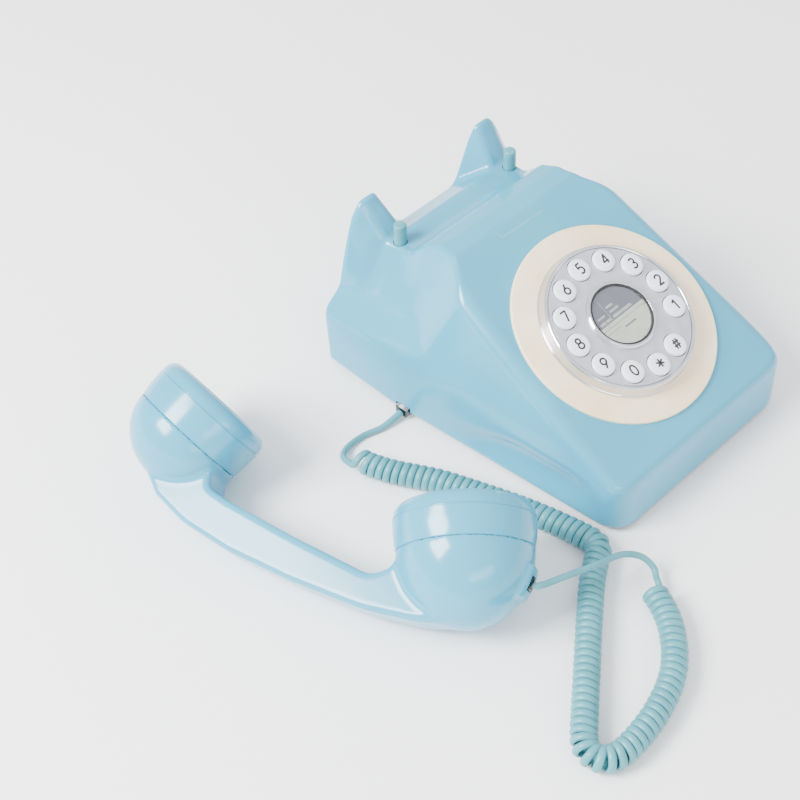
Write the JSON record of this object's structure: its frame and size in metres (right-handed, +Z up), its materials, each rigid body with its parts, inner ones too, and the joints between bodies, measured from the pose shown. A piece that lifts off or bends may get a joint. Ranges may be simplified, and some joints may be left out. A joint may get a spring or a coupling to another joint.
{
  "type": "push-button desk telephone",
  "caption": "Retro desk telephone: wedge base with eared cradle, round push-button dial with a chrome ring, cup handset lying beside it and a coiled cord.",
  "frame": {"origin": "on the surface the phone stands on, under the middle of the base", "axes": "+Z up, +X to the right of someone dialling, -Y towards them (the front lip); the handset lies to the left (-X)"},
  "size_m": [0.3043, 0.3093, 0.0968],
  "materials": {
    "body_plastic": "moulded gloss ABS",
    "cream_plastic": "moulded cream ABS",
    "key_plastic": "polished white ABS with printed figures",
    "hook_plastic": "moulded ABS",
    "cord_plastic": "extruded soft PVC jacket",
    "black_plastic": "moulded, fine texture",
    "clear_plastic": "clear polycarbonate",
    "chrome": "chrome-plated ABS",
    "satin_metal": "satin silver finish",
    "steel": "zinc-plated steel",
    "iron": "plain weight",
    "board": "glass-epoxy board",
    "card": "printed number label",
    "foot_rubber": "moulded rubber",
    "black_rubber": "moulded rubber"
  },
  "bodies": {
    "base": {"upper_case": "body_plastic", "base_plate": "black_plastic", "rubber_feet": "foot_rubber", "case_screws": "steel", "dial_surround": "cream_plastic", "dial_ring": "chrome", "dial_faceplate": "satin_metal", "label_bezel": "chrome", "label_gasket": "black_rubber", "label_card": "card", "label_lens": "clear_plastic", "key_membrane": "black_rubber", "key_board": "board", "dial_back_plate": "black_plastic", "dial_screws": "steel", "hook_springs": "steel", "hook_bracket": "steel", "hook_switch": "black_plastic", "main_board": "board", "board_parts": "black_plastic", "ringer_frame": "black_plastic", "ringer_magnet": "steel", "ballast_plate": "iron", "line_socket": "clear_plastic", "cord_socket": "black_plastic", "plug_base": "clear_plastic", "lead_base": "cord_plastic", "cord_coil": "cord_plastic", "lead_handset": "cord_plastic"},
    "hook": {"plunger_left": "hook_plastic", "plunger_right": "hook_plastic", "hook_bar": "black_plastic"},
    "handset": {"handset_shell": "body_plastic", "handset_cover": "body_plastic", "cover_screw": "steel", "ear_cap": "body_plastic", "mouth_cap": "body_plastic", "ear_receiver": "steel", "microphone": "black_plastic", "handset_weight": "iron", "handset_socket": "black_plastic", "plug_handset": "clear_plastic"},
    "key_1": {"key_1": "key_plastic"},
    "key_2": {"key_2": "key_plastic"},
    "key_3": {"key_3": "key_plastic"},
    "key_4": {"key_4": "key_plastic"},
    "key_5": {"key_5": "key_plastic"},
    "key_6": {"key_6": "key_plastic"},
    "key_7": {"key_7": "key_plastic"},
    "key_8": {"key_8": "key_plastic"},
    "key_9": {"key_9": "key_plastic"},
    "key_0": {"key_0": "key_plastic"},
    "key_star": {"key_star": "key_plastic"},
    "key_hash": {"key_hash": "key_plastic"}
  },
  "joints": [
    {"name": "press_1", "type": "slide", "parent": "base", "child": "key_1", "axis": [0, 0.4235, -0.9059], "range_m": [0, 0.0013], "stiffness_N_per_m": 250, "springref_m": -0.0015},
    {"name": "press_2", "type": "slide", "parent": "base", "child": "key_2", "axis": [0, 0.4235, -0.9059], "range_m": [0, 0.0013], "stiffness_N_per_m": 250, "springref_m": -0.0015},
    {"name": "press_3", "type": "slide", "parent": "base", "child": "key_3", "axis": [0, 0.4235, -0.9059], "range_m": [0, 0.0013], "stiffness_N_per_m": 250, "springref_m": -0.0015},
    {"name": "press_4", "type": "slide", "parent": "base", "child": "key_4", "axis": [0, 0.4235, -0.9059], "range_m": [0, 0.0013], "stiffness_N_per_m": 250, "springref_m": -0.0015},
    {"name": "press_5", "type": "slide", "parent": "base", "child": "key_5", "axis": [0, 0.4235, -0.9059], "range_m": [0, 0.0013], "stiffness_N_per_m": 250, "springref_m": -0.0015},
    {"name": "press_6", "type": "slide", "parent": "base", "child": "key_6", "axis": [0, 0.4235, -0.9059], "range_m": [0, 0.0013], "stiffness_N_per_m": 250, "springref_m": -0.0015},
    {"name": "press_7", "type": "slide", "parent": "base", "child": "key_7", "axis": [0, 0.4235, -0.9059], "range_m": [0, 0.0013], "stiffness_N_per_m": 250, "springref_m": -0.0015},
    {"name": "press_8", "type": "slide", "parent": "base", "child": "key_8", "axis": [0, 0.4235, -0.9059], "range_m": [0, 0.0013], "stiffness_N_per_m": 250, "springref_m": -0.0015},
    {"name": "press_9", "type": "slide", "parent": "base", "child": "key_9", "axis": [0, 0.4235, -0.9059], "range_m": [0, 0.0013], "stiffness_N_per_m": 250, "springref_m": -0.0015},
    {"name": "press_0", "type": "slide", "parent": "base", "child": "key_0", "axis": [0, 0.4235, -0.9059], "range_m": [0, 0.0013], "stiffness_N_per_m": 250, "springref_m": -0.0015},
    {"name": "press_star", "type": "slide", "parent": "base", "child": "key_star", "axis": [0, 0.4235, -0.9059], "range_m": [0, 0.0013], "stiffness_N_per_m": 250, "springref_m": -0.0015},
    {"name": "press_hash", "type": "slide", "parent": "base", "child": "key_hash", "axis": [0, 0.4235, -0.9059], "range_m": [0, 0.0013], "stiffness_N_per_m": 250, "springref_m": -0.0015},
    {"name": "hook_press", "type": "slide", "parent": "base", "child": "hook", "axis": [0, 0, -1], "range_m": [0, 0.007], "stiffness_N_per_m": 300, "springref_m": -0.004, "deforming": ["hook_springs"]},
    {"name": "handset_lift", "type": "slide", "parent": "base", "child": "handset", "axis": [0, 0, 1], "range_m": [0, 0.15]}
  ]
}
